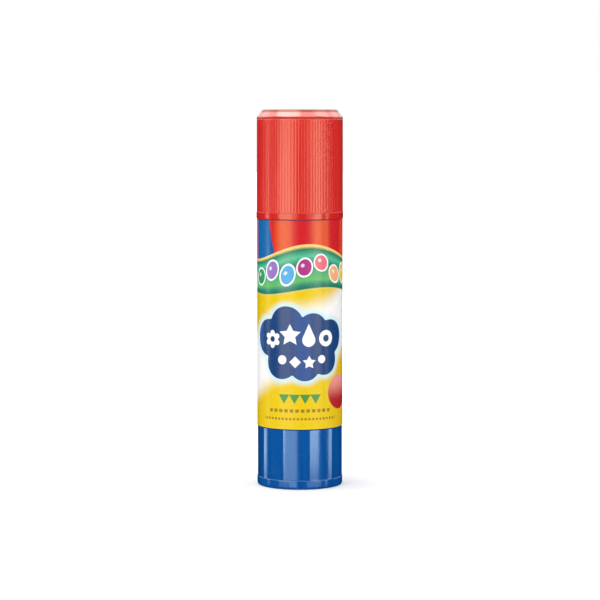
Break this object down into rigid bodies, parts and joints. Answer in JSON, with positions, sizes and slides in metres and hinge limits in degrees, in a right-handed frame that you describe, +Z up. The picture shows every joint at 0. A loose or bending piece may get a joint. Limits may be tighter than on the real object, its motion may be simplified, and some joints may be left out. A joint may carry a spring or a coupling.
{
  "type": "glue stick",
  "caption": "Round twist-up glue stick with a ribbed pull-off cap, a wrapped label and a faceted turning base.",
  "frame": {"origin": "centre of the foot rim, on the surface that the stick stands on", "axes": "+Z up along the stick's axis towards the cap, -Y towards the front of the label"},
  "size_m": [0.0202, 0.0202, 0.0877],
  "materials": {
    "cap_plastic": "moulded, satin gloss",
    "barrel_plastic": "moulded, satin gloss",
    "knob_plastic": "moulded, gloss",
    "label_film": "printed film",
    "natural_plastic": "moulded, uncoloured",
    "glue_stick": "waxy, slightly translucent"
  },
  "bodies": {
    "container": {"barrel": "barrel_plastic", "label": "label_film"},
    "base": {"knob": "knob_plastic", "spindle": "natural_plastic"},
    "piston": {"carrier": "natural_plastic", "glue": "glue_stick"},
    "closure": {"cap": "cap_plastic"}
  },
  "joints": [
    {"name": "knob_turn", "type": "hinge", "parent": "container", "child": "base", "pos_m": [0, 0, 0], "axis": [0, 0, 1], "range_deg": [0, 3240]},
    {"name": "glue_rise", "type": "slide", "parent": "container", "child": "piston", "axis": [0, 0, 1], "range_m": [0, 0.045]},
    {"name": "cap_pull", "type": "slide", "parent": "piston", "child": "closure", "axis": [0, 0, 1], "range_m": [0, 0.03]}
  ],
  "couplings": [
    {"joint": "glue_rise", "follows": "knob_turn", "m_per_rad": 0.00079577}
  ]
}
